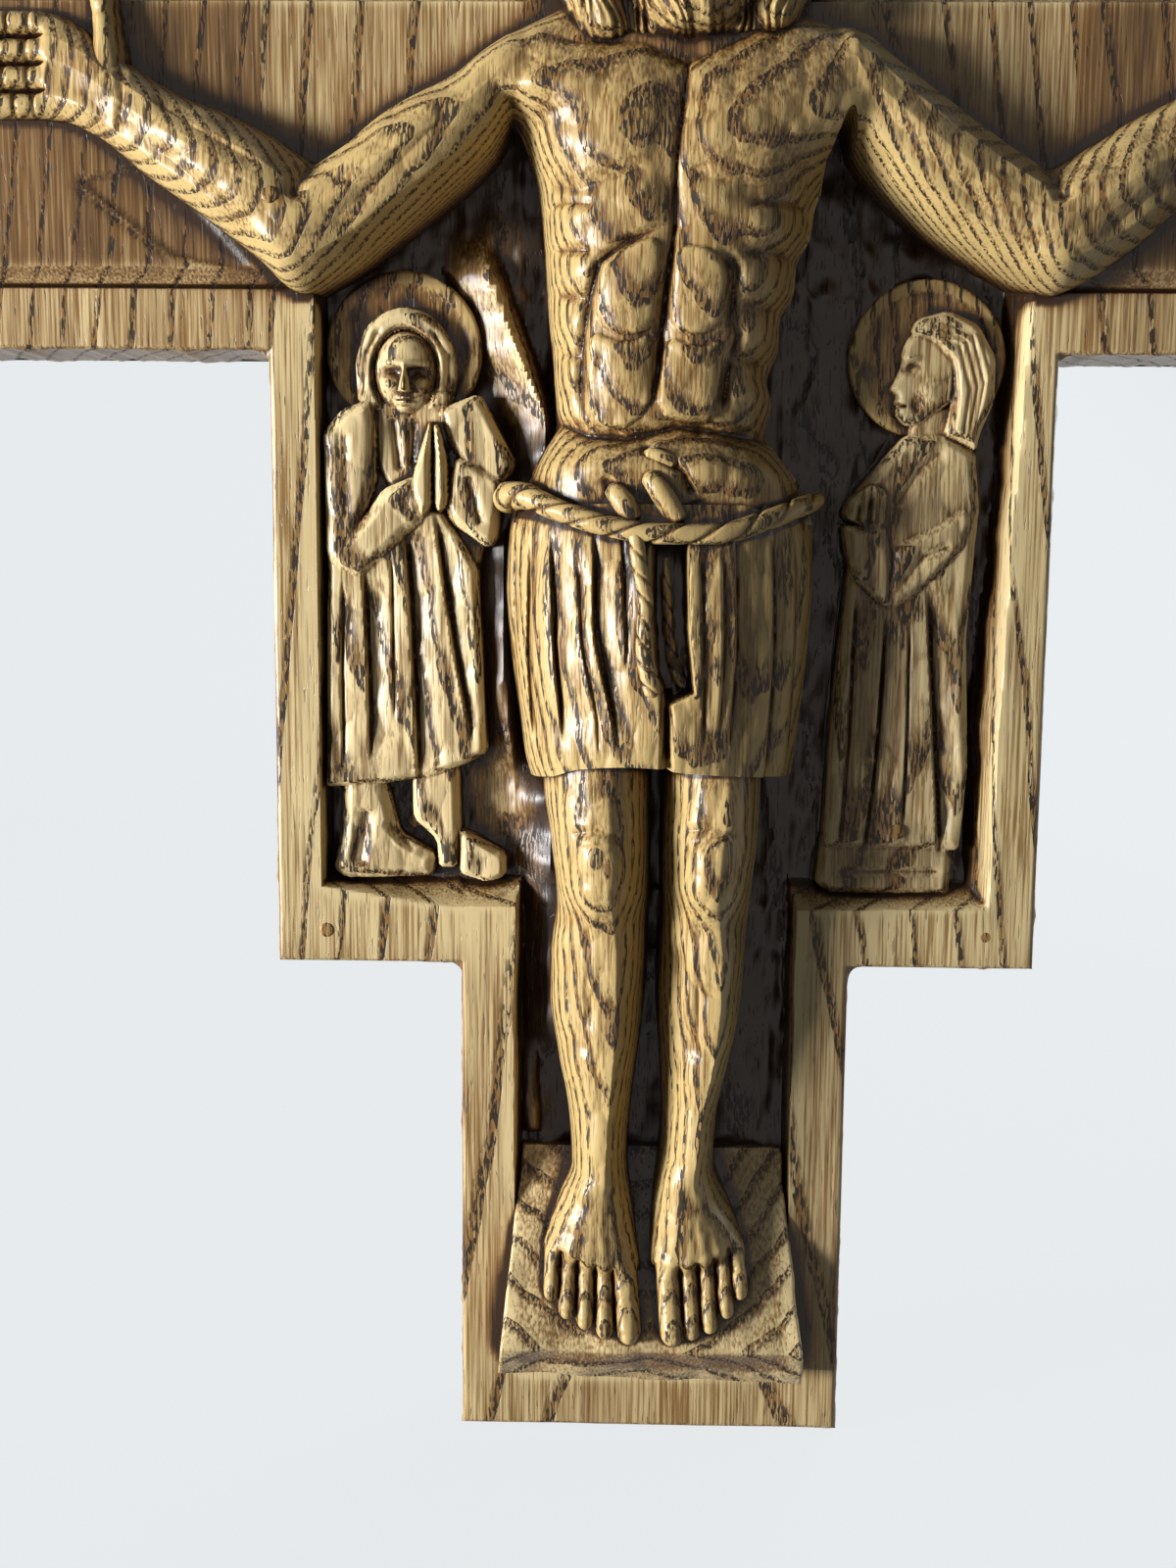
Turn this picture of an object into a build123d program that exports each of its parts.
from build123d import *
import os
from math import atan2, cos, pi, sin, tan

# A carved oak wall crucifix: glued boards, pegged carvings and a strap hanger let into the back.
# Sizes are in millimetres. Every piece is drawn lying on its back, with X to the right, Y up the
# shaft and Z the height above the back. STAND then stands it up: +Z up, facing -Y, the back in
# the plane Y = 0 and the origin on the back face at the middle of the crossbar. Left and right
# are the viewer's, seen from the front.
STAND = Plane.XZ.location

# Boards of the cross
SHAFT_WIDTH = 72.0
CROSSBAR_LENGTH = 280.0
CROSSBAR_HEIGHT = 72.0
APRON_SPAN = 140.0
APRON_DROP = 111.0
BOARD_THICKNESS = 18.0

# Relief cut into the front of the boards
RECESS_DEPTH = 7.0
FIELD_RISE = 3.0
FIELD_BEVEL = 3.0
LEDGE_WIDTH = 11.0
SHAFT_STILE = 10.0
APRON_STILE = 9.0
APRON_RAIL = 12.0
FOOT_RAIL = 11.0
FOOT_GAP = 3.5

# Joinery
JOINT_CLEARANCE = 0.05
EDGE_DOWEL_RADIUS = 2.5
EDGE_DOWEL_LENGTH = 32.0
FIGURE_DOWEL_RADIUS = 2.5
FIGURE_DOWEL_GRIP = 8.0
DOWEL_MARGIN = 2.6
PEG_RADIUS = 1.4
PEG_PROUD = 0.2
BATTEN_HEIGHT = 16.0
BATTEN_THICKNESS = 6.0
BATTEN_END_MARGIN = 4.0
BATTEN_EDGE_MARGIN = 2.0

# Trunk of the corpus; the relief of every carving is measured above the sunk ground
TRUNK_TOP = 16.0
TRUNK_LENGTH = 80.0
CHEST_HALF_WIDTH = 27.0
CHEST_RELIEF = 26.0
TRUNK_LEAN = 2.0

# Arms, mirrored left to right
SHOULDER_REACH = 27.0
SHOULDER_LEVEL = 6.5
ELBOW_REACH = 63.0
ELBOW_LEVEL = -16.0
WRIST_REACH = 92.0
WRIST_LEVEL = 3.5
UPPER_ARM_HALF_WIDTH = 8.6
FOREARM_HALF_WIDTH = 8.2
ARM_HALF_DEPTH = 11.0

# Hands
PALM_LENGTH = 15.0
PALM_HALF_WIDTH = 9.0
PALM_HALF_DEPTH = 5.0
FINGER_LENGTH = 13.0
FINGER_HALF_DEPTH = 3.6
FINGERS = 4

# Head, bowed over the breast, and its halo
HEAD_SIDE = 3.0
HEAD_LEVEL = 31.0
HEAD_HALF_WIDTH = 12.0
HEAD_HALF_HEIGHT = 17.0
HEAD_HALF_DEPTH = 10.5
HALO_RADIUS = 26.0
HALO_LIFT = 6.0
HALO_RISE = 3.0

# Loincloth and rope belt
CLOTH_DROP = 48.0
CLOTH_HALF_WIDTH = 28.0
CLOTH_RELIEF = 25.0
CLOTH_FOLDS = 9
ROPE_RADIUS = 2.6
ROPE_SAG = 7.0

# Legs and feet
LEG_AXIS = -1.6
LEG_SPREAD = 11.0
LEG_LENGTH = 78.0
THIGH_HALF_WIDTH = 9.2
KNEE_RELIEF = 22.0
FOOT_LENGTH = 18.0
FOOT_HALF_WIDTH = 8.2
TOE_LENGTH = 10.0
TOES = 5

# Footrest wedge
FOOTREST_LEAD = 6.5
FOOTREST_DROP = 34.0
FOOTREST_NOSE = 6.0
FOOTREST_TOP_WIDTH = 49.0
FOOTREST_FOOT_WIDTH = 57.0
FOOTREST_TOP_RELIEF = 2.5
FOOTREST_RELIEF = 18.0
FOOTREST_NOSE_BEVEL = 2.0

# Mourners beside the shaft
MOURNER_MARGIN = 1.5
MOURNER_GAP = 2.0
MOURNER_HEADROOM = 16.0
MOURNER_RELIEF = 6.5
MOURNER_HALO_RADIUS = 14.0
MOURNER_HALO_THICKNESS = 3.0

# Title plaque at the top
PLAQUE_GAP = 16.0
PLAQUE_WIDTH = 34.0
PLAQUE_HEIGHT = 14.0
PLAQUE_THICKNESS = 3.5
PLAQUE_MARGIN = 5.0
PLAQUE_PIN_RADIUS = 0.9
PLAQUE_DRAFT_DEGREES = 12.0

# Strap hanger in its pocket at the back
POCKET_MARGIN = 4.0
POCKET_WALL = 3.0
POCKET_COVER = 0.6
STRAP_WIDTH = 12.0
STRAP_TAIL = 9.0
STRAP_THICKNESS = 1.2
RING_GAP = 0.4
RING_WIRE_RADIUS = 1.0
RING_BOW_RADIUS = 7.0
RING_LEG = 3.0
RING_CORNER_RADIUS = 2.2
KNUCKLE_WALL = 0.8
SCREW_RADIUS = 1.5
SCREW_LENGTH = 9.0
SCREW_HEAD_RADIUS = 3.0
SCREW_HEAD_HEIGHT = 1.5

# Every cutter runs past its face by this much
OVERRUN = 1.0

# Trunk: up the trunk, half-width, relief
TRUNK_SHARES = (
    (0.00, 0.95, 0.85), (0.09, 0.86, 0.82), (0.19, 0.69, 0.74), (0.28, 0.71, 0.78),
    (0.42, 0.79, 0.90), (0.57, 0.89, 0.99), (0.70, 1.00, 1.00), (0.80, 1.30, 0.96),
    (0.89, 1.60, 0.88), (0.95, 1.20, 0.80), (1.00, 0.60, 0.70),
)
TRUNK_DOWEL_SHARE = 0.48
# Upper arm and forearm: along the bone, half-width
UPPER_ARM_SHARES = ((-0.20, 1.05), (0.10, 1.10), (0.35, 1.00), (0.70, 1.02), (1.00, 1.06))
FOREARM_SHARES = ((-0.02, 1.15), (0.25, 1.08), (0.60, 0.96), (1.00, 0.80))
ELBOW_WIDTH_SHARE = 1.18
ELBOW_DEPTH_SHARE = 0.96
WRIST_DEPTH_SHARE = 0.72
WRIST_WIDTH_SHARE = 0.74
ARM_PEG_SHARE = 0.16
SHOULDER_LIFT_SHARE = 1.5
SHOULDER_DOWEL_SHARE = 0.42
# How far out from the upper arm's middle the sunk ground ends under it
UNDERCUT_SHARE = 0.80
# Hand: where the knuckles stand above the wrist, the fingers' pitch and width, and the thumb
KNUCKLE_RISE_SHARE = 0.85
FINGER_PITCH_SHARE = 0.50
FINGER_WIDTH_SHARE = 0.235
THUMB_ALONG_SHARE = 0.35
THUMB_LENGTH_SHARE = 0.62
# Head: half sizes of the hair, beard, nose and side locks, and how far they stand off the middle
SKULL_LIFT_SHARE = 0.60
HAIR_SHARES = (1.30, 1.10, 0.70)
HAIR_UP_SHARE = 0.12
HAIR_BACK_SHARE = 0.40
BEARD_SHARES = (0.66, 0.50, 0.60)
BEARD_DROP_SHARE = 0.70
BEARD_OUT_SHARE = 0.45
NOSE_SHARES = (0.15, 0.28, 0.20)
LOCK_SHARES = (0.36, 0.75, 0.60)
LOCK_DROP_SHARES = (0.36, 0.20)
# Loincloth: down the cloth, half-width, relief, depth of the folds
CLOTH_SHARES = (
    (0.00, 0.96, 0.92, 0.00), (0.35, 1.00, 1.00, 0.02), (0.70, 0.95, 0.98, 0.04), (1.00, 0.87, 0.92, 0.06),
)
CLOTH_DOWEL_SHARE = 0.50
ROPE_END_SHARE = 0.42
POINTS_PER_FOLD = 4
# Leg: down the leg, spread from the axis, half-width, relief
LEG_SHARES = (
    (0.00, 0.93, 1.00, 0.91), (0.13, 0.96, 0.91, 0.95), (0.26, 0.98, 0.83, 1.00), (0.36, 0.99, 0.69, 0.92),
    (0.49, 1.04, 0.67, 0.84), (0.62, 1.03, 0.62, 0.80), (0.77, 0.97, 0.50, 0.74), (0.90, 0.92, 0.47, 0.72),
    (1.00, 0.90, 0.53, 0.78),
)
# Foot: down the foot, half-width, thickness over the footrest
FOOT_SHARES = ((-0.10, 0.58, 1.35), (0.30, 0.78, 1.35), (0.70, 0.96, 1.05), (1.00, 1.00, 0.72))
TOE_WIDTH_SHARE = 0.22
TOE_SPREAD_SHARE = 0.80
TOE_STEP_SHARE = 0.10
BIG_TOE_SHARE = 1.40
# Mourners: outlines across in shares of the half-width and up in shares of the height
MANTLE_SHARES = (
    (-0.97, 0.17), (-0.88, 0.50), (-1.00, 0.55), (-0.96, 0.80), (-0.60, 0.86), (0.55, 0.86), (0.94, 0.78),
    (0.92, 0.60), (0.62, 0.50), (0.85, 0.20),
)
SKIRT_SHARES = ((-0.84, 0.03), (-0.84, 0.30), (0.80, 0.30), (0.90, 0.03))
PRAYING_SLEEVES_SHARES = (
    (-0.95, 0.54), (-0.10, 0.72), (0.10, 0.80), (0.32, 0.80), (0.42, 0.70), (0.80, 0.58), (0.55, 0.54),
    (0.20, 0.62), (-0.50, 0.50),
)
ROBE_SHARES = (
    (-0.95, 0.06), (-0.90, 0.45), (-0.80, 0.74), (-0.40, 0.84), (0.60, 0.84), (0.90, 0.72), (0.94, 0.06),
)
FOLDED_SLEEVES_SHARES = (
    (-0.85, 0.70), (-0.60, 0.80), (0.30, 0.66), (0.20, 0.52), (-0.30, 0.48), (-0.40, 0.58),
)
FEET_SHARES = ((-0.92, 0.00), (-0.92, 0.08), (0.90, 0.08), (0.90, 0.00))
SKIRT_RELIEF_SHARE = 0.72
ROBE_RELIEF_SHARE = 0.86
FEET_RELIEF_SHARE = 0.62
ROBE_TOP_SHARES = {"left": SKIRT_RELIEF_SHARE, "right": ROBE_RELIEF_SHARE}
MOURNER_HEAD_SHARE = 0.90
MOURNER_HEAD_SHARES = (0.60, 0.0963, 1.15)
MOURNER_HALO_SHARE = 0.93
MOURNER_PEG_SHARES = (-0.03, 0.11)
MOURNER_DOWEL_SHARE = 0.46
PLAQUE_PIN_SHARE = 0.36
# Dowels across the glue lines, up the crossbar and down the apron, and the upper batten's place
CROSSBAR_DOWEL_SHARES = (-0.30, 0.03)
APRON_DOWEL_SHARES = (0.25, 0.62)
CROSSBAR_BATTEN_SHARE = 0.30
KNUCKLE_SHARE = 0.72

# Levels and half widths that follow from those sizes
GROUND = BOARD_THICKNESS - RECESS_DEPTH
FIELD = BOARD_THICKNESS + FIELD_RISE
SHAFT_EDGE = SHAFT_WIDTH / 2
APRON_EDGE = APRON_SPAN / 2
CROSSBAR_END = CROSSBAR_LENGTH / 2
CROSSBAR_EDGE = CROSSBAR_HEIGHT / 2
APRON_FOOT = -CROSSBAR_EDGE - APRON_DROP
APRON_SILL = APRON_FOOT + APRON_RAIL
APRON_INSIDE = APRON_EDGE - APRON_STILE
BELT_LEVEL = TRUNK_TOP - TRUNK_LENGTH
HEM_LEVEL = BELT_LEVEL - CLOTH_DROP
ANKLE_LEVEL = HEM_LEVEL - LEG_LENGTH
FOOTREST_TOP = ANKLE_LEVEL + FOOTREST_LEAD
FOOTREST_EDGE = FOOTREST_TOP - FOOTREST_DROP
FOOTREST_FOOT = FOOTREST_EDGE - FOOTREST_NOSE
RECESS_FOOT = FOOTREST_FOOT - FOOT_GAP
SHAFT_FOOT = RECESS_FOOT - FOOT_RAIL
HALO_LEVEL = HEAD_LEVEL + HALO_LIFT
HALO_FACE = FIELD + HALO_RISE
PLAQUE_LEVEL = HALO_LEVEL + HALO_RADIUS + PLAQUE_GAP + PLAQUE_HEIGHT / 2
SHAFT_HEAD = PLAQUE_LEVEL + PLAQUE_HEIGHT / 2 + PLAQUE_MARGIN + FIELD_BEVEL + LEDGE_WIDTH
FINGER_HALF_WIDTH = PALM_HALF_WIDTH * FINGER_WIDTH_SHARE
TOE_HALF_WIDTH = FOOT_HALF_WIDTH * TOE_WIDTH_SHARE
ARM_SLOPE = atan2(SHOULDER_LEVEL - ELBOW_LEVEL, ELBOW_REACH - SHOULDER_REACH)
UPPER_BATTEN_LEVEL = CROSSBAR_HEIGHT * CROSSBAR_BATTEN_SHARE
LOWER_BATTEN_LEVEL = APRON_FOOT + BATTEN_EDGE_MARGIN + BATTEN_HEIGHT / 2
LEG_DOWEL_LEVEL = LOWER_BATTEN_LEVEL - BATTEN_HEIGHT / 2 - DOWEL_MARGIN - FIGURE_DOWEL_RADIUS
RING_REACH = RING_CORNER_RADIUS + RING_LEG + RING_BOW_RADIUS + RING_WIRE_RADIUS
STRAP_LENGTH = RING_REACH + STRAP_TAIL
KNUCKLE_RADIUS = RING_WIRE_RADIUS + JOINT_CLEARANCE + KNUCKLE_WALL
HINGE_RISE = STRAP_THICKNESS + RING_GAP + RING_WIRE_RADIUS
POCKET_DEPTH = HINGE_RISE + KNUCKLE_RADIUS + POCKET_COVER
POCKET_FOOT = UPPER_BATTEN_LEVEL + BATTEN_HEIGHT / 2 + POCKET_WALL
HINGE_LEVEL = POCKET_FOOT + POCKET_MARGIN + STRAP_LENGTH
HINGE_HEIGHT = POCKET_DEPTH - HINGE_RISE
CROSS_SPAN = (-CROSSBAR_LENGTH, CROSSBAR_LENGTH)
SIDES = {"left": -1, "right": 1}


def mix(start, end, share):
    """The value that lies a share of the way from start to end."""
    return start + (end - start) * share


def block(x_span, y_span, z_span):
    """A box between two planes each way."""
    (x0, x1), (y0, y1), (z0, z1) = (sorted(span) for span in (x_span, y_span, z_span))
    return Pos((x0 + x1) / 2, (y0 + y1) / 2, (z0 + z1) / 2) * Box(x1 - x0, y1 - y0, z1 - z0)


def slab(outline, low, high, draft=0):
    """A closed outline in X and Y raised between two heights, its sides leaning in by the draft."""
    face = make_face(Polyline(*outline, close=True)).face()
    if face.normal_at().Z < 0:
        face = -face
    return extrude(Plane.XY.offset(low) * face, high - low, taper=draft)


def ellipsoid(centre, half_sizes):
    """An egg-shaped boss from a unit ball."""
    return Pos(*centre) * scale(Sphere(1), by=tuple(half_sizes))


def post(x, y, low, high, radius):
    """A round pin that stands square to the back."""
    return Pos(x, y, (low + high) / 2) * Cylinder(radius, high - low)


def lying_pin(middle, direction, length, radius):
    """A round pin about a middle point, lying along a direction."""
    return extrude(Plane(middle, z_dir=direction) * Circle(radius), length / 2, both=True)


def above(form, height):
    """The part of a form above a height."""
    return split(form, bisect_by=Plane.XY.offset(height), keep=Keep.TOP)


def limb(stations, centre_height):
    """A limb lofted through ellipses: stations of X, Y, half-width and half-depth."""
    sections = []
    for i, (x, y, half_width, half_depth) in enumerate(stations):
        before = stations[max(i - 1, 0)]
        after = stations[min(i + 1, len(stations) - 1)]
        along = Vector(after[0] - before[0], after[1] - before[1])
        plane = Plane((x, y, centre_height), x_dir=(0, 0, -1), z_dir=along)
        sections.append(plane * Ellipse(half_depth, half_width))
    return loft(sections)


def level_loft(stations):
    """A form lofted along the shaft: stations of X, Y, centre height, half-width and half-depth."""
    sections = []
    for x, y, height, half_width, half_depth in stations:
        plane = Plane((x, y, height), x_dir=(1, 0, 0), z_dir=(0, 1, 0))
        sections.append(plane * Ellipse(half_width, half_depth))
    return loft(sections)


def under_arm(x):
    """The level that the sunk ground reaches under the upper arm at a distance from the axis."""
    middle = SHOULDER_LEVEL - (x - SHOULDER_REACH) * tan(ARM_SLOPE)
    return middle - UPPER_ARM_HALF_WIDTH * UNDERCUT_SHARE / cos(ARM_SLOPE)


def make_recess():
    """The sunk ground round the figures, as a cutter; its top edge runs under the upper arms."""
    shaft = SHAFT_EDGE - SHAFT_STILE
    half = [
        (SHOULDER_REACH, under_arm(SHOULDER_REACH)), (APRON_INSIDE, under_arm(APRON_INSIDE)),
        (APRON_INSIDE, APRON_SILL), (shaft, APRON_SILL), (shaft, RECESS_FOOT),
    ]
    return slab(half + [(-x, y) for x, y in reversed(half)], GROUND, FIELD + OVERRUN)


def bevelled_bar(x_edge, y_low, y_high):
    """A raised field with a bevel all round, standing on the front of the boards."""
    sections = []
    for rise, inset in ((0, 0), (FIELD_RISE, FIELD_BEVEL)):
        face = Rectangle(2 * (x_edge - inset), y_high - y_low - 2 * inset)
        sections.append(Pos(0, (y_low + y_high) / 2, BOARD_THICKNESS + rise) * face)
    return loft(sections, ruled=True)


def make_field():
    """The raised cross of the crossbar and the upper shaft."""
    ledge = CROSSBAR_EDGE - LEDGE_WIDTH
    bar = bevelled_bar(CROSSBAR_END - LEDGE_WIDTH, -ledge, ledge)
    return bar + bevelled_bar(SHAFT_EDGE - LEDGE_WIDTH, -ledge, SHAFT_HEAD - LEDGE_WIDTH)


def make_halo(growth=0):
    """The halo disc, which is let into the field, or its seat when it is grown by the clearance."""
    return post(HEAD_SIDE, HALO_LEVEL, BOARD_THICKNESS, HALO_FACE, HALO_RADIUS + growth)


def make_carcass():
    """The whole cross in one form: shaft, crossbar and apron with the field raised and the ground sunk."""
    board = (0, BOARD_THICKNESS)
    shaft = block((-SHAFT_EDGE, SHAFT_EDGE), (SHAFT_FOOT, SHAFT_HEAD), board)
    apron = block((-APRON_EDGE, APRON_EDGE), (APRON_FOOT, CROSSBAR_EDGE), board)
    crossbar = block((-CROSSBAR_END, CROSSBAR_END), (-CROSSBAR_EDGE, CROSSBAR_EDGE), board)
    return shaft + apron + crossbar + make_field() - make_recess() - make_halo(JOINT_CLEARANCE)


def make_boards(carcass, cutters):
    """The carcass ripped into its five boards, which stand edge to edge with upright grain."""
    drilled = carcass - cutters
    height = (SHAFT_FOOT, SHAFT_HEAD)
    boards = {"shaft_board": drilled & block((-SHAFT_EDGE, SHAFT_EDGE), height, (0, FIELD))}
    for name, side in SIDES.items():
        stave = (side * SHAFT_EDGE, side * APRON_EDGE)
        end = (side * APRON_EDGE, side * CROSSBAR_END)
        boards[name + "_apron_stave"] = drilled & block(stave, height, (0, FIELD))
        boards[name + "_crossbar_end"] = drilled & block(end, height, (0, FIELD))
    return boards


def batten(level, end, growth=0):
    """A batten let into the back, or its groove when it is grown by the clearance."""
    half_length = end - BATTEN_END_MARGIN + growth
    half_height = BATTEN_HEIGHT / 2 + growth
    floor = -OVERRUN if growth else 0
    return block((-half_length, half_length), (level - half_height, level + half_height),
                 (floor, BATTEN_THICKNESS + growth))


def edge_dowels(growth=0):
    """Dowels across the glue lines, halfway between the back and the sunk ground."""
    crossbar = [CROSSBAR_HEIGHT * share for share in CROSSBAR_DOWEL_SHARES]
    apron = [-CROSSBAR_EDGE - APRON_DROP * share for share in APRON_DOWEL_SHARES]
    pins = []
    for side in SIDES.values():
        for edge, levels in ((SHAFT_EDGE, crossbar + apron), (APRON_EDGE, crossbar)):
            for level in levels:
                pins.append(lying_pin((side * edge, level, GROUND / 2), (1, 0, 0),
                                      EDGE_DOWEL_LENGTH + 2 * growth, EDGE_DOWEL_RADIUS + growth))
    return pins


def make_trunk():
    """The bare trunk, cut square at the shoulders and the belt."""
    stations = []
    for up, half_width, relief in TRUNK_SHARES:
        stations.append((TRUNK_LEAN * up, BELT_LEVEL + TRUNK_LENGTH * up, GROUND,
                         CHEST_HALF_WIDTH * half_width, CHEST_RELIEF * relief))
    return level_loft(stations) & block((-SHOULDER_REACH, SHOULDER_REACH), (BELT_LEVEL, TRUNK_TOP),
                                        (GROUND, GROUND + 2 * CHEST_RELIEF))


def make_hand():
    """A flat palm with four fingers pointing out and the thumb up."""
    knuckle_x = WRIST_REACH + PALM_LENGTH
    knuckle_y = WRIST_LEVEL + PALM_HALF_WIDTH * KNUCKLE_RISE_SHARE
    wrist_half_width = PALM_HALF_WIDTH * WRIST_WIDTH_SHARE
    palm_x, palm_y = (WRIST_REACH + knuckle_x) / 2, (WRIST_LEVEL + knuckle_y) / 2
    heel_x, heel_y = WRIST_REACH - wrist_half_width, WRIST_LEVEL - wrist_half_width / 2
    hand = limb([
        (heel_x, heel_y, wrist_half_width, PALM_HALF_DEPTH),
        (palm_x, palm_y, PALM_HALF_WIDTH, PALM_HALF_DEPTH),
        (knuckle_x, knuckle_y, PALM_HALF_WIDTH, FINGER_HALF_DEPTH),
    ], FIELD)
    for finger in range(FINGERS):
        y = knuckle_y + (finger - (FINGERS - 1) / 2) * PALM_HALF_WIDTH * FINGER_PITCH_SHARE
        hand += ellipsoid((knuckle_x + FINGER_LENGTH / 2 - FINGER_HALF_WIDTH, y, FIELD),
                          (FINGER_LENGTH / 2 + FINGER_HALF_WIDTH, FINGER_HALF_WIDTH, FINGER_HALF_DEPTH))
    thumb_x = WRIST_REACH + PALM_LENGTH * THUMB_ALONG_SHARE
    thumb_size = (FINGER_HALF_WIDTH, FINGER_LENGTH * THUMB_LENGTH_SHARE, FINGER_HALF_DEPTH)
    return hand + ellipsoid((thumb_x, knuckle_y + PALM_HALF_WIDTH, FIELD), thumb_size)


def make_arm():
    """The right arm with its open hand, as a round form through the plane of the field."""
    wrist_depth = ARM_HALF_DEPTH * WRIST_DEPTH_SHARE
    upper = []
    for along, width in UPPER_ARM_SHARES:
        upper.append((mix(SHOULDER_REACH, ELBOW_REACH, along), mix(SHOULDER_LEVEL, ELBOW_LEVEL, along),
                      UPPER_ARM_HALF_WIDTH * width, ARM_HALF_DEPTH))
    lower = []
    for along, width in FOREARM_SHARES:
        lower.append((mix(ELBOW_REACH, WRIST_REACH, along), mix(ELBOW_LEVEL, WRIST_LEVEL, along),
                      FOREARM_HALF_WIDTH * width, mix(ARM_HALF_DEPTH, wrist_depth, along)))
    elbow_radius = UPPER_ARM_HALF_WIDTH * ELBOW_WIDTH_SHARE
    elbow_sizes = (elbow_radius, elbow_radius, ARM_HALF_DEPTH * ELBOW_DEPTH_SHARE)
    elbow = ellipsoid((ELBOW_REACH, ELBOW_LEVEL, FIELD), elbow_sizes)
    arm = limb(upper, FIELD) + elbow + limb(lower, FIELD) + make_hand()
    return arm & block((SHOULDER_REACH, CROSSBAR_LENGTH), CROSS_SPAN, (GROUND, CROSSBAR_LENGTH))


def make_head():
    """The head with its hair, side locks and beard, cut flat where it meets the halo."""
    halves = (HEAD_HALF_WIDTH, HEAD_HALF_HEIGHT, HEAD_HALF_DEPTH)
    middle = (HEAD_SIDE, HEAD_LEVEL, HALO_FACE + HEAD_HALF_DEPTH * SKULL_LIFT_SHARE)

    def boss(across, up, out, shares):
        """An egg on the head, placed and sized in shares of the head's half sizes."""
        centre = [place + half * share for place, half, share in zip(middle, halves, (across, up, out))]
        return ellipsoid(centre, [half * share for half, share in zip(halves, shares)])

    head = boss(0, 0, 0, (1, 1, 1)) + boss(0, HAIR_UP_SHARE, -HAIR_BACK_SHARE, HAIR_SHARES)
    head += boss(0, -BEARD_DROP_SHARE, BEARD_OUT_SHARE, BEARD_SHARES)
    head += boss(0, 0, 1, NOSE_SHARES)
    for side, drop in zip(SIDES.values(), LOCK_DROP_SHARES):
        head += boss(side * HAIR_SHARES[0], -drop, -HAIR_BACK_SHARE, LOCK_SHARES)
    return above(head, HALO_FACE)


def make_cloth():
    """The loincloth: a bellied wrap whose folds deepen towards the hem."""
    sections = []
    count = 2 * CLOTH_FOLDS * POINTS_PER_FOLD
    for down, half_width, relief, fold in CLOTH_SHARES:
        points = []
        for i in range(count):
            turn = 2 * pi * i / count
            swell = 1 + fold * cos(2 * CLOTH_FOLDS * turn)
            points.append((CLOTH_HALF_WIDTH * half_width * cos(turn) * swell,
                           CLOTH_RELIEF * relief * sin(turn) * swell))
        plane = Plane((0, BELT_LEVEL - CLOTH_DROP * down, GROUND), x_dir=(1, 0, 0), z_dir=(0, -1, 0))
        sections.append(plane * make_face(Spline(*points, periodic=True)))
    return above(loft(sections), GROUND)


def make_rope(growth=0):
    """The rope belt: one arc of round cord, high at the hips and sagging across the front."""
    edge = CLOTH_HALF_WIDTH
    rise = BELT_LEVEL + ROPE_RADIUS
    hip = GROUND + CLOTH_RELIEF * ROPE_END_SHARE
    front = GROUND + CLOTH_RELIEF * CLOTH_SHARES[0][2]
    path = ThreePointArc((-edge, rise, hip), (0, rise - ROPE_SAG, front), (edge, rise, hip))
    return sweep(Plane(path @ 0, z_dir=path % 0) * Circle(ROPE_RADIUS + growth), path)


def footrest_height(y):
    """The height of the footrest's sloping top at a level."""
    return GROUND + mix(FOOTREST_TOP_RELIEF, FOOTREST_RELIEF, (FOOTREST_TOP - y) / FOOTREST_DROP)


def make_footrest():
    """The wedge under the feet, wider at its nose, with the nose cut back below."""
    half_top, half_foot = FOOTREST_TOP_WIDTH / 2, FOOTREST_FOOT_WIDTH / 2
    front = GROUND + FOOTREST_RELIEF
    plan = [
        (-half_top, FOOTREST_TOP), (half_top, FOOTREST_TOP),
        (half_foot, FOOTREST_FOOT), (-half_foot, FOOTREST_FOOT),
    ]
    profile = [
        (FOOTREST_TOP, GROUND), (FOOTREST_TOP, GROUND + FOOTREST_TOP_RELIEF), (FOOTREST_EDGE, front),
        (FOOTREST_FOOT, front - FOOTREST_NOSE_BEVEL), (FOOTREST_FOOT, GROUND),
    ]
    side = Plane.YZ * make_face(Polyline(*profile, close=True))
    return slab(plan, GROUND, front + OVERRUN) & extrude(side, FOOTREST_FOOT_WIDTH, both=True)


def leg_station(side, down, spread):
    """The middle of a leg at a share of its length, as X and Y."""
    return LEG_AXIS + side * LEG_SPREAD * spread, HEM_LEVEL - LEG_LENGTH * down


def make_leg(side):
    """One leg from the hem down to the toes, before it is seated."""
    stations = []
    for down, spread, half_width, relief in LEG_SHARES:
        stations.append((*leg_station(side, down, spread), GROUND,
                         THIGH_HALF_WIDTH * half_width, KNEE_RELIEF * relief))
    ankle = stations[-1][0]
    foot = []
    for down, half_width, thickness in FOOT_SHARES:
        y = ANKLE_LEVEL - FOOT_LENGTH * down
        foot.append((ankle, y, footrest_height(y), FOOT_HALF_WIDTH * half_width, FOOT_HALF_WIDTH * thickness))
    leg = level_loft(stations) + level_loft(foot)
    ball = ANKLE_LEVEL - FOOT_LENGTH
    for toe in range(TOES):
        across = side * FOOT_HALF_WIDTH * TOE_SPREAD_SHARE * mix(-1, 1, toe / (TOES - 1))
        size = 1 if toe else BIG_TOE_SHARE
        y = ball + TOE_LENGTH * TOE_STEP_SHARE * toe
        half_width = TOE_HALF_WIDTH * size
        leg += ellipsoid((ankle + across, y, footrest_height(y)),
                         (half_width, TOE_LENGTH / 2 * size, FOOT_HALF_WIDTH * FOOT_SHARES[-1][2] * size))
    return above(leg, GROUND)


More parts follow.
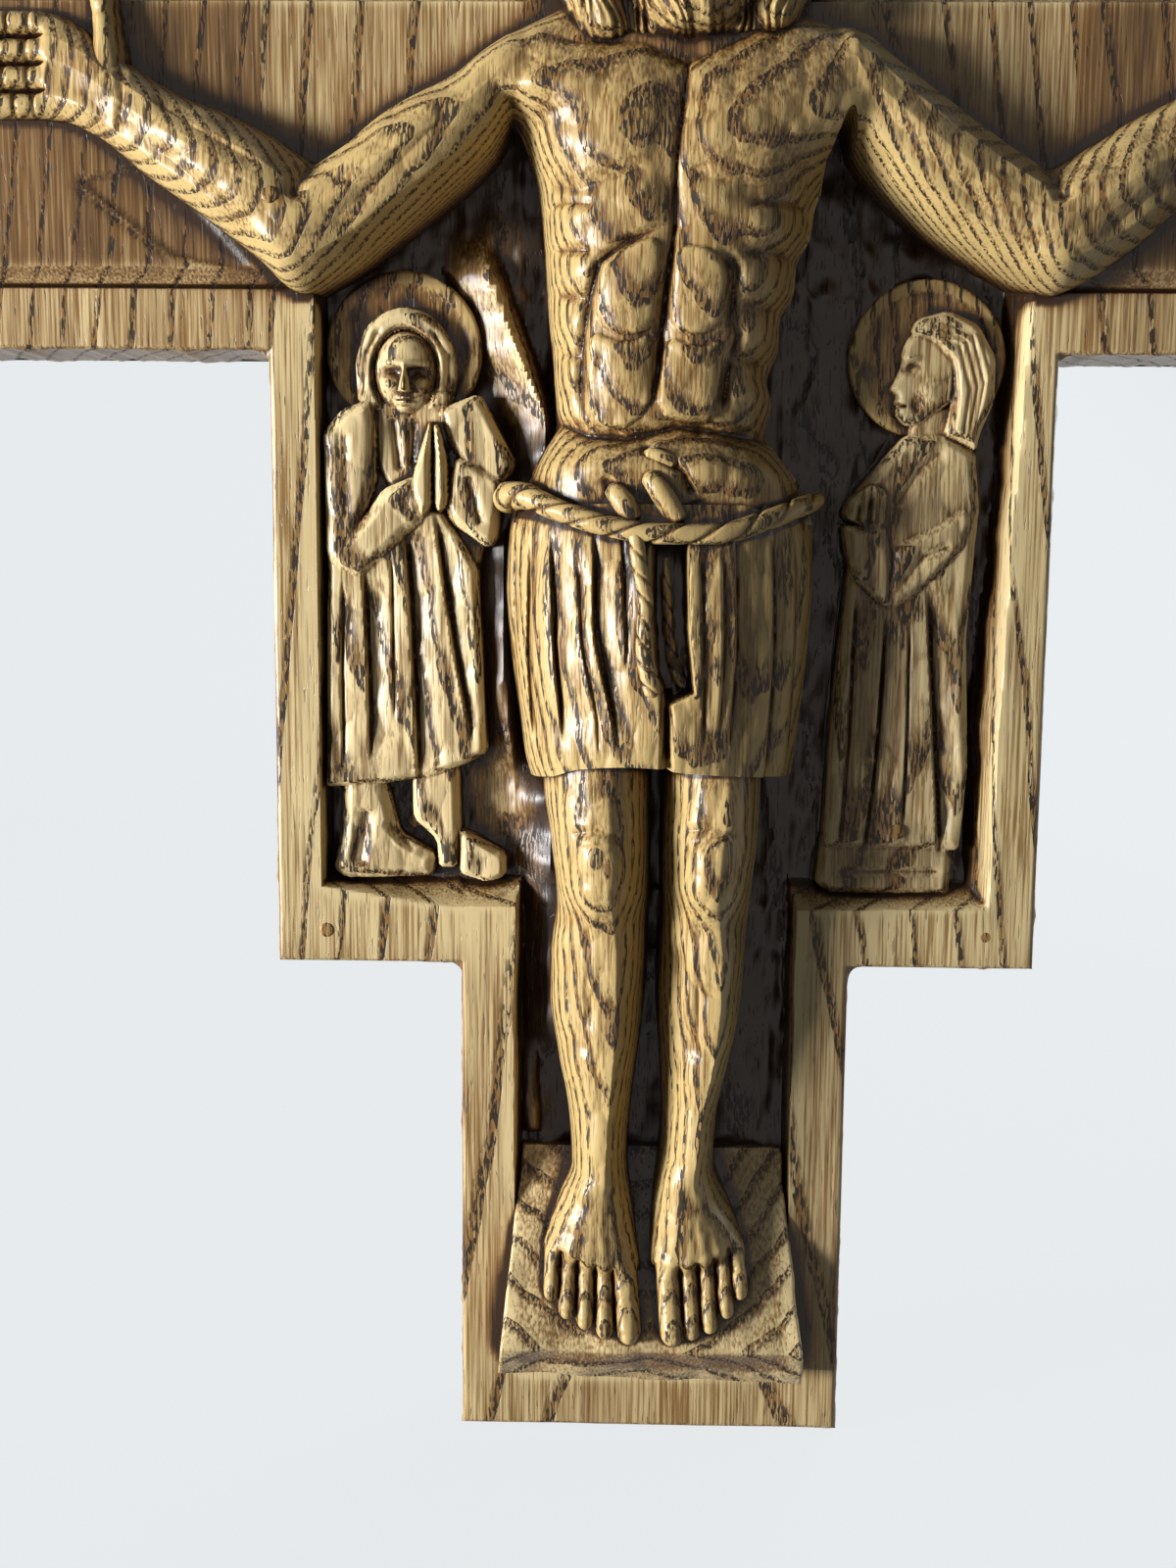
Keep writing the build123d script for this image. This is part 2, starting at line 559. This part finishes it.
MOURNER_HALF_WIDTH = (APRON_INSIDE - CLOTH_HALF_WIDTH) / 2 - MOURNER_MARGIN
MOURNER_SIDE = (APRON_INSIDE + CLOTH_HALF_WIDTH) / 2
MOURNER_SOLE = APRON_SILL + MOURNER_GAP
MOURNER_HEIGHT = under_arm(MOURNER_SIDE) - MOURNER_HEADROOM - MOURNER_SOLE


def mourner_place(side, across, up):
    """A point on a mourner from shares of the figure's half-width and height."""
    return side * MOURNER_SIDE + MOURNER_HALF_WIDTH * across, MOURNER_SOLE + MOURNER_HEIGHT * up


def make_mourner(side, layers):
    """A standing figure in low relief: layers of dress and a head."""
    sizes = (MOURNER_HALF_WIDTH, MOURNER_HEIGHT, MOURNER_RELIEF)
    head = ellipsoid((*mourner_place(side, 0, MOURNER_HEAD_SHARE), GROUND),
                     [size * share for size, share in zip(sizes, MOURNER_HEAD_SHARES)])
    figure = above(head, GROUND)
    for shares, relief in layers:
        outline = [mourner_place(side, across, up) for across, up in shares]
        figure += slab(outline, GROUND, GROUND + MOURNER_RELIEF * relief)
    return figure


def make_mourners():
    """The veiled figure on the left and the long-haired one on the right."""
    feet = (FEET_SHARES, FEET_RELIEF_SHARE)
    skirt = (SKIRT_SHARES, SKIRT_RELIEF_SHARE)
    left = [feet, skirt, (MANTLE_SHARES, ROBE_RELIEF_SHARE), (PRAYING_SLEEVES_SHARES, 1)]
    right = [feet, (ROBE_SHARES, ROBE_RELIEF_SHARE), (FOLDED_SLEEVES_SHARES, 1)]
    return {"left": make_mourner(SIDES["left"], left), "right": make_mourner(SIDES["right"], right)}


def figure_dowels(growth=0):
    """Blind dowels from the boards into the corpus, the head and the mourners."""
    places = [
        (0, BELT_LEVEL + TRUNK_LENGTH * TRUNK_DOWEL_SHARE, GROUND),
        (0, BELT_LEVEL - CLOTH_DROP * CLOTH_DOWEL_SHARE, GROUND),
        (HEAD_SIDE, HEAD_LEVEL, HALO_FACE),
    ]
    mourners = []
    for side in SIDES.values():
        places.append((*leg_station(side, (HEM_LEVEL - LEG_DOWEL_LEVEL) / LEG_LENGTH, 1), GROUND))
        mourners.append((*mourner_place(side, 0, MOURNER_DOWEL_SHARE), GROUND))
    corpus_pins = [post(x, y, seat - FIGURE_DOWEL_GRIP - growth, seat + FIGURE_DOWEL_GRIP + growth,
                        FIGURE_DOWEL_RADIUS + growth) for x, y, seat in places]
    mourner_pins = [post(x, y, seat - MOURNER_RELIEF - growth, seat + MOURNER_RELIEF / 2 + growth,
                         FIGURE_DOWEL_RADIUS + growth) for x, y, seat in mourners]
    return {"corpus_dowels": corpus_pins, "mourner_dowels": mourner_pins}


def body_dowels(growth=0):
    """Dowels inside the corpus: across both shoulders, down the waist and down both hips."""
    length = 2 * (FIGURE_DOWEL_GRIP + growth)
    radius = FIGURE_DOWEL_RADIUS + growth
    depth = GROUND + CHEST_RELIEF * SHOULDER_DOWEL_SHARE
    shoulder = FIELD + FIGURE_DOWEL_RADIUS * SHOULDER_LIFT_SHARE
    across, down = (1, 0, 0), (0, 1, 0)
    shoulders = [lying_pin((side * SHOULDER_REACH, SHOULDER_LEVEL, shoulder), across, length, radius)
                 for side in SIDES.values()]
    hips = [lying_pin((0, BELT_LEVEL, depth), down, length, radius)]
    for side in SIDES.values():
        x, y = leg_station(side, 0, LEG_SHARES[0][1])
        hips.append(lying_pin((x, y, depth), down, length, radius))
    return {"shoulder_dowels": shoulders, "hip_dowels": hips}


def arm_peg_place(side):
    """The middle of the peg through a forearm just below the elbow."""
    return (side * mix(ELBOW_REACH, WRIST_REACH, ARM_PEG_SHARE), mix(ELBOW_LEVEL, WRIST_LEVEL, ARM_PEG_SHARE))


def make_pegs(growth=0):
    """The pegs by node: apron corners into the batten, forearms into the field, robes into the ground."""
    radius = PEG_RADIUS + growth
    arm_top = FIELD + ARM_HALF_DEPTH + OVERRUN
    pegs = {"apron_pegs": [], "arm_pegs": [], "mourner_pegs": []}
    for name, side in SIDES.items():
        corner = (side * APRON_INSIDE, APRON_FOOT + APRON_RAIL / 2)
        robe_top = GROUND + MOURNER_RELIEF * ROBE_TOP_SHARES[name] + PEG_PROUD
        robe = mourner_place(side, *MOURNER_PEG_SHARES)
        apron_top = BOARD_THICKNESS + PEG_PROUD
        pegs["apron_pegs"].append(post(*corner, BATTEN_THICKNESS / 2 - growth, apron_top, radius))
        pegs["arm_pegs"].append(post(*arm_peg_place(side), BOARD_THICKNESS / 2 - growth, arm_top, radius))
        pegs["mourner_pegs"].append(post(*robe, GROUND / 2 - growth, robe_top, radius))
    return pegs


def make_plaque():
    """The blank title plaque with a drafted edge."""
    half_width, half_height = PLAQUE_WIDTH / 2, PLAQUE_HEIGHT / 2
    outline = [(-half_width, PLAQUE_LEVEL - half_height), (half_width, PLAQUE_LEVEL - half_height),
               (half_width, PLAQUE_LEVEL + half_height), (-half_width, PLAQUE_LEVEL + half_height)]
    return slab(outline, FIELD, FIELD + PLAQUE_THICKNESS, PLAQUE_DRAFT_DEGREES)


def plaque_pins(growth=0):
    """The two pins that hold the plaque."""
    return [post(side * PLAQUE_WIDTH * PLAQUE_PIN_SHARE, PLAQUE_LEVEL, BOARD_THICKNESS / 2 - growth,
                 FIELD + PLAQUE_THICKNESS + PEG_PROUD, PLAQUE_PIN_RADIUS + growth) for side in SIDES.values()]


def hanger_pocket():
    """The hollow in the back that keeps the hanger below the surface."""
    half_width = RING_BOW_RADIUS + RING_WIRE_RADIUS + POCKET_MARGIN
    return block((-half_width, half_width), (POCKET_FOOT, HINGE_LEVEL + RING_REACH + POCKET_MARGIN),
                 (-OVERRUN, POCKET_DEPTH))


def hanger_screw(growth=0):
    """The screw through the strap's tail, or its hole."""
    level = HINGE_LEVEL - RING_REACH - STRAP_TAIL / 2
    seat = POCKET_DEPTH - STRAP_THICKNESS
    shank = post(0, level, seat - growth, seat + SCREW_LENGTH + growth, SCREW_RADIUS + growth)
    return shank if growth else shank + post(0, level, seat - SCREW_HEAD_HEIGHT, seat, SCREW_HEAD_RADIUS)


def hanger_strap():
    """The folded strap: a flat tail and a knuckle round the ring's bar."""
    bar_half = (RING_BOW_RADIUS - RING_CORNER_RADIUS) * KNUCKLE_SHARE
    sheet = (POCKET_DEPTH - STRAP_THICKNESS, POCKET_DEPTH)
    half_width, tail_top = STRAP_WIDTH / 2, HINGE_LEVEL - KNUCKLE_RADIUS
    tail = block((-half_width, half_width), (HINGE_LEVEL - STRAP_LENGTH, tail_top), sheet)
    neck = block((-bar_half, bar_half), (tail_top - KNUCKLE_RADIUS, HINGE_LEVEL), sheet)
    hinge = (0, HINGE_LEVEL, HINGE_HEIGHT)
    knuckle = lying_pin(hinge, (1, 0, 0), 2 * bar_half, KNUCKLE_RADIUS)
    bore = lying_pin(hinge, (1, 0, 0), STRAP_WIDTH, RING_WIRE_RADIUS + JOINT_CLEARANCE)
    return tail + neck + knuckle - bore - hanger_screw(JOINT_CLEARANCE)


def hanger_ring():
    """The ring: a straight bar in the knuckle, two legs and a round bow, hanging down."""
    bar = HINGE_LEVEL
    corner = bar - RING_CORNER_RADIUS
    knee = corner - RING_LEG
    side = RING_BOW_RADIUS
    inner = side - RING_CORNER_RADIUS
    turn = RING_CORNER_RADIUS * (1 - cos(pi / 4))
    z = HINGE_HEIGHT
    path = Wire([
        Line((0, bar, z), (inner, bar, z)),
        ThreePointArc((inner, bar, z), (side - turn, bar - turn, z), (side, corner, z)),
        Line((side, corner, z), (side, knee, z)),
        ThreePointArc((side, knee, z), (0, knee - side, z), (-side, knee, z)),
        Line((-side, knee, z), (-side, corner, z)),
        ThreePointArc((-side, corner, z), (turn - side, bar - turn, z), (-inner, bar, z)),
        Line((-inner, bar, z), (0, bar, z)),
    ])
    return sweep(Plane((0, bar, z), z_dir=(1, 0, 0)) * Circle(RING_WIRE_RADIUS), path)


def make_parts():
    """Every piece by node name, cut to its seats."""
    gap = JOINT_CLEARANCE
    battens = {
        "crossbar_batten": (UPPER_BATTEN_LEVEL, CROSSBAR_END),
        "apron_batten": (LOWER_BATTEN_LEVEL, APRON_EDGE),
    }
    pegs, peg_holes = make_pegs(), make_pegs(gap)
    dowels = {**figure_dowels(), **body_dowels()}
    holes = {**figure_dowels(gap), **body_dowels(gap)}
    figure_holes = holes["corpus_dowels"] + holes["mourner_dowels"]
    cutters = [batten(*place, gap) for place in battens.values()] + edge_dowels(gap) + figure_holes
    cutters += [hole for group in peg_holes.values() for hole in group]
    cutters += plaque_pins(gap) + [hanger_pocket(), hanger_screw(gap)]
    carcass = make_carcass()
    parts = make_boards(carcass, cutters)
    for name, place in battens.items():
        parts[name] = batten(*place) - peg_holes["apron_pegs"]
    parts["edge_dowels"] = edge_dowels()

    trunk = make_trunk() - carcass - make_halo(gap)
    footrest = make_footrest() - carcass
    body_holes = holes["corpus_dowels"] + holes["shoulder_dowels"] + holes["hip_dowels"]
    rope_groove = make_rope(gap)
    parts["halo"] = make_halo() - holes["corpus_dowels"]
    parts["head"] = make_head() - trunk - holes["corpus_dowels"]
    parts["trunk"] = trunk - [rope_groove, *body_holes]
    parts["loincloth"] = make_cloth() - [rope_groove, *body_holes]
    parts["rope_belt"] = make_rope()
    parts["footrest"] = footrest
    right_arm = make_arm() - carcass
    mourners = make_mourners()
    for index, (name, side) in enumerate(SIDES.items()):
        arm = right_arm if side > 0 else mirror(right_arm, Plane.YZ)
        arm_peg = pegs["arm_pegs"][index]
        pegs["arm_pegs"][index] = (arm_peg & arm) + (arm_peg & block(CROSS_SPAN, CROSS_SPAN, (0, FIELD)))
        parts[name + "_arm"] = arm - peg_holes["arm_pegs"] - holes["shoulder_dowels"]
        parts[name + "_leg"] = make_leg(side) - footrest - carcass - body_holes
        disc = post(*mourner_place(side, 0, MOURNER_HALO_SHARE), GROUND, GROUND + MOURNER_HALO_THICKNESS,
                    MOURNER_HALO_RADIUS)
        parts[name + "_halo"] = disc - carcass
        parts[name + "_mourner"] = mourners[name] - disc - carcass - peg_holes["mourner_pegs"] - figure_holes
    parts.update(pegs)
    parts.update(dowels)
    parts["title_plaque"] = make_plaque() - plaque_pins(gap)
    parts["plaque_pins"] = plaque_pins()
    parts["hanger_strap"] = hanger_strap()
    parts["hanger_screw"] = hanger_screw()
    parts["hanger_ring"] = hanger_ring()
    return parts


def main():
    """Stand every piece up and write it to its own file."""
    os.makedirs("parts", exist_ok=True)
    for name, piece in make_parts().items():
        pieces = piece if isinstance(piece, list) else [piece]
        solids = [STAND * solid for part in pieces for solid in part.solids()]
        export_step(Compound(children=solids), os.path.join("parts", name + ".step"))


if __name__ == "__main__":
    main()
